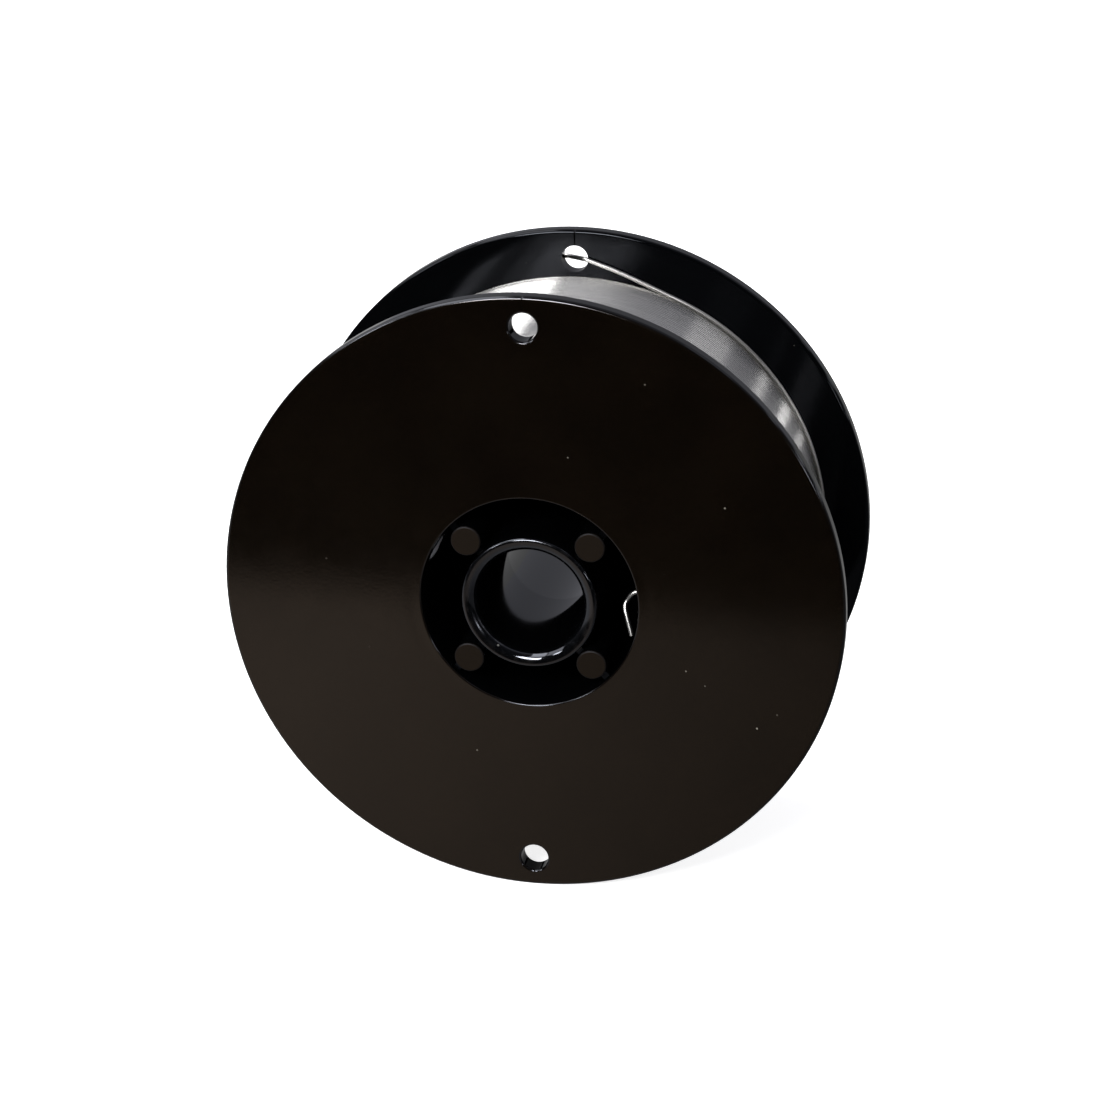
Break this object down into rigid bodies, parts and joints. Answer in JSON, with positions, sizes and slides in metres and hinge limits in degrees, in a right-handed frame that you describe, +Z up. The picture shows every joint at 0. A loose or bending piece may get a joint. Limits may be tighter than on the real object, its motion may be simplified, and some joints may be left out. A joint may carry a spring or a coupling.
{
  "type": "wire spool",
  "caption": "Small moulded plastic wire spool with a plain spindle bore, drilled flanges and a cored hub, wound nearly full with bare round steel wire.",
  "frame": {"origin": "middle of the spindle bore, on its axis", "axes": "+Y along the spindle from the front flange to the rear flange, +Z up through the flanges' twelve o'clock holes; the spool stands on the rims of its flanges"},
  "size_m": [0.1, 0.0458, 0.1],
  "materials": {
    "spool_plastic": "satin black injection moulding",
    "steel_wire": "bright drawn wire"
  },
  "bodies": {
    "root": {"front_half": "spool_plastic", "rear_half": "spool_plastic", "wire_winding": "steel_wire", "wire_tail": "steel_wire", "wire_start": "steel_wire"}
  },
  "joints": []
}
